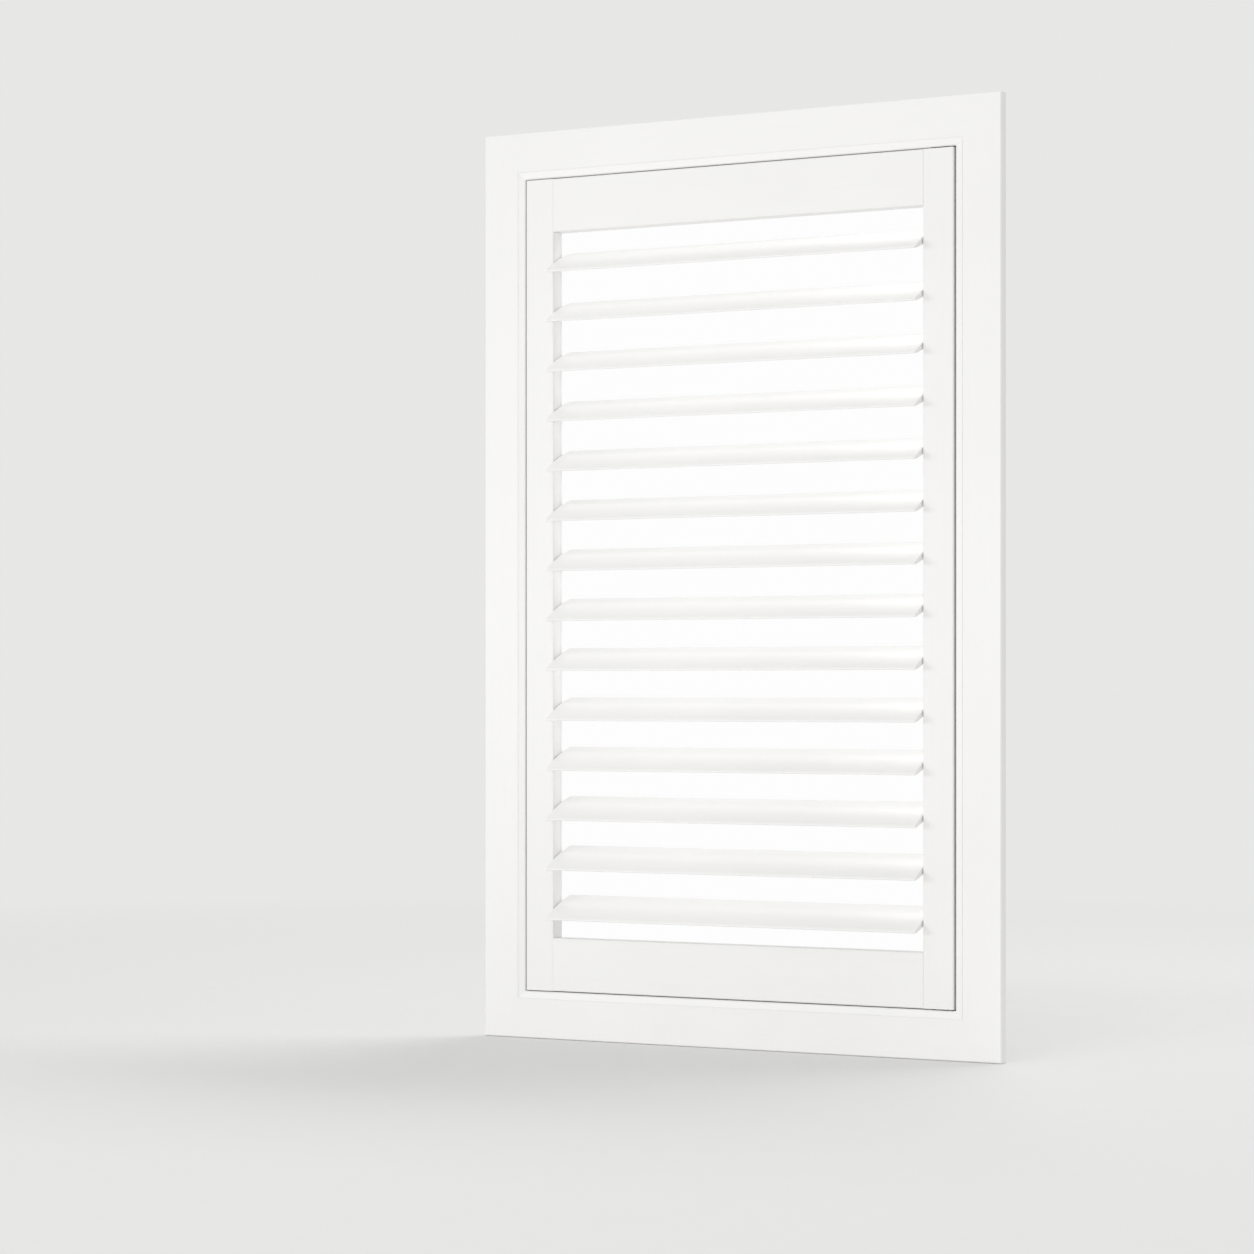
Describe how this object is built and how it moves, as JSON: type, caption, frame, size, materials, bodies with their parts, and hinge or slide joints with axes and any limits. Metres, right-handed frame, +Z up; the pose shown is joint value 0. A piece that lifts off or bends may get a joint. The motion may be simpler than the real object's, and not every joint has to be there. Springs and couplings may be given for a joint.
{
  "type": "louvred window shutter",
  "caption": "White framed window shutter: a hinged panel of tilting louvres, geared together by a hidden rack, in a mitred casing that lies on the wall.",
  "frame": {"origin": "on the wall's face, at the middle of the frame's width and height", "axes": "+Z up, +X to the right as seen from the room, +Y into the wall; the room is at -Y"},
  "size_m": [0.94, 0.0826, 1.5],
  "materials": {
    "frame_paint": "satin white paint",
    "panel_paint": "satin white paint",
    "louvre_paint": "satin white paint",
    "bare_wood": "bare, planed",
    "nylon": "moulded, matt white",
    "steel": "brushed",
    "magnet": "matt dark"
  },
  "bodies": {
    "frame": {"frame_left": "frame_paint", "frame_right": "frame_paint", "frame_top": "frame_paint", "frame_bottom": "frame_paint", "mitre_keys": "bare_wood", "pivot_plates": "steel", "catch_magnets": "magnet"},
    "panel": {"stile_hinge_side": "panel_paint", "stile_latch_side": "panel_paint", "rail_top": "panel_paint", "rail_bottom": "panel_paint", "bearing_strip_hinge_side": "nylon", "bearing_strip_latch_side": "nylon", "pivot_sockets": "nylon", "catch_strikes": "steel"},
    "louvre_01": {"louvre_01": "louvre_paint", "pinion_01": "nylon"},
    "louvre_02": {"louvre_02": "louvre_paint", "pinion_02": "nylon"},
    "louvre_03": {"louvre_03": "louvre_paint", "pinion_03": "nylon"},
    "louvre_04": {"louvre_04": "louvre_paint", "pinion_04": "nylon"},
    "louvre_05": {"louvre_05": "louvre_paint", "pinion_05": "nylon"},
    "louvre_06": {"louvre_06": "louvre_paint", "pinion_06": "nylon"},
    "louvre_07": {"louvre_07": "louvre_paint", "pinion_07": "nylon"},
    "louvre_08": {"louvre_08": "louvre_paint", "pinion_08": "nylon"},
    "louvre_09": {"louvre_09": "louvre_paint", "pinion_09": "nylon"},
    "louvre_10": {"louvre_10": "louvre_paint", "pinion_10": "nylon"},
    "louvre_11": {"louvre_11": "louvre_paint", "pinion_11": "nylon"},
    "louvre_12": {"louvre_12": "louvre_paint", "pinion_12": "nylon"},
    "louvre_13": {"louvre_13": "louvre_paint", "pinion_13": "nylon"},
    "louvre_14": {"louvre_14": "louvre_paint", "pinion_14": "nylon"},
    "rack": {"tilt_rack": "nylon"}
  },
  "joints": [
    {"name": "panel_swing", "type": "hinge", "parent": "frame", "child": "panel", "pos_m": [0.382, -0.011, 0], "axis": [0, 0, 1], "range_deg": [0, 100]},
    {"name": "louvre_01_tilt", "type": "hinge", "parent": "panel", "child": "louvre_01", "pos_m": [0, -0.0037, 0.533], "axis": [1, 0, 0], "range_deg": [-110, 62]},
    {"name": "louvre_02_tilt", "type": "hinge", "parent": "panel", "child": "louvre_02", "pos_m": [0, -0.0037, 0.451], "axis": [1, 0, 0], "range_deg": [-110, 62]},
    {"name": "louvre_03_tilt", "type": "hinge", "parent": "panel", "child": "louvre_03", "pos_m": [0, -0.0037, 0.369], "axis": [1, 0, 0], "range_deg": [-110, 62]},
    {"name": "louvre_04_tilt", "type": "hinge", "parent": "panel", "child": "louvre_04", "pos_m": [0, -0.0037, 0.287], "axis": [1, 0, 0], "range_deg": [-110, 62]},
    {"name": "louvre_05_tilt", "type": "hinge", "parent": "panel", "child": "louvre_05", "pos_m": [0, -0.0037, 0.205], "axis": [1, 0, 0], "range_deg": [-110, 62]},
    {"name": "louvre_06_tilt", "type": "hinge", "parent": "panel", "child": "louvre_06", "pos_m": [0, -0.0037, 0.123], "axis": [1, 0, 0], "range_deg": [-110, 62]},
    {"name": "louvre_07_tilt", "type": "hinge", "parent": "panel", "child": "louvre_07", "pos_m": [0, -0.0037, 0.041], "axis": [1, 0, 0], "range_deg": [-110, 62]},
    {"name": "louvre_08_tilt", "type": "hinge", "parent": "panel", "child": "louvre_08", "pos_m": [0, -0.0037, -0.041], "axis": [1, 0, 0], "range_deg": [-110, 62]},
    {"name": "louvre_09_tilt", "type": "hinge", "parent": "panel", "child": "louvre_09", "pos_m": [0, -0.0037, -0.123], "axis": [1, 0, 0], "range_deg": [-110, 62]},
    {"name": "louvre_10_tilt", "type": "hinge", "parent": "panel", "child": "louvre_10", "pos_m": [0, -0.0037, -0.205], "axis": [1, 0, 0], "range_deg": [-110, 62]},
    {"name": "louvre_11_tilt", "type": "hinge", "parent": "panel", "child": "louvre_11", "pos_m": [0, -0.0037, -0.287], "axis": [1, 0, 0], "range_deg": [-110, 62]},
    {"name": "louvre_12_tilt", "type": "hinge", "parent": "panel", "child": "louvre_12", "pos_m": [0, -0.0037, -0.369], "axis": [1, 0, 0], "range_deg": [-110, 62]},
    {"name": "louvre_13_tilt", "type": "hinge", "parent": "panel", "child": "louvre_13", "pos_m": [0, -0.0037, -0.451], "axis": [1, 0, 0], "range_deg": [-110, 62]},
    {"name": "louvre_14_tilt", "type": "hinge", "parent": "panel", "child": "louvre_14", "pos_m": [0, -0.0037, -0.533], "axis": [1, 0, 0], "range_deg": [-110, 62]},
    {"name": "rack_slide", "type": "slide", "parent": "panel", "child": "rack", "axis": [0, 0, 1], "range_m": [-0.00841, 0.00474]}
  ],
  "couplings": [
    {"joint": "louvre_02_tilt", "follows": "louvre_01_tilt", "ratio": 1},
    {"joint": "louvre_03_tilt", "follows": "louvre_01_tilt", "ratio": 1},
    {"joint": "louvre_04_tilt", "follows": "louvre_01_tilt", "ratio": 1},
    {"joint": "louvre_05_tilt", "follows": "louvre_01_tilt", "ratio": 1},
    {"joint": "louvre_06_tilt", "follows": "louvre_01_tilt", "ratio": 1},
    {"joint": "louvre_07_tilt", "follows": "louvre_01_tilt", "ratio": 1},
    {"joint": "louvre_08_tilt", "follows": "louvre_01_tilt", "ratio": 1},
    {"joint": "louvre_09_tilt", "follows": "louvre_01_tilt", "ratio": 1},
    {"joint": "louvre_10_tilt", "follows": "louvre_01_tilt", "ratio": 1},
    {"joint": "louvre_11_tilt", "follows": "louvre_01_tilt", "ratio": 1},
    {"joint": "louvre_12_tilt", "follows": "louvre_01_tilt", "ratio": 1},
    {"joint": "louvre_13_tilt", "follows": "louvre_01_tilt", "ratio": 1},
    {"joint": "louvre_14_tilt", "follows": "louvre_01_tilt", "ratio": 1},
    {"joint": "rack_slide", "follows": "louvre_01_tilt", "m_per_rad": 0.004375}
  ]
}
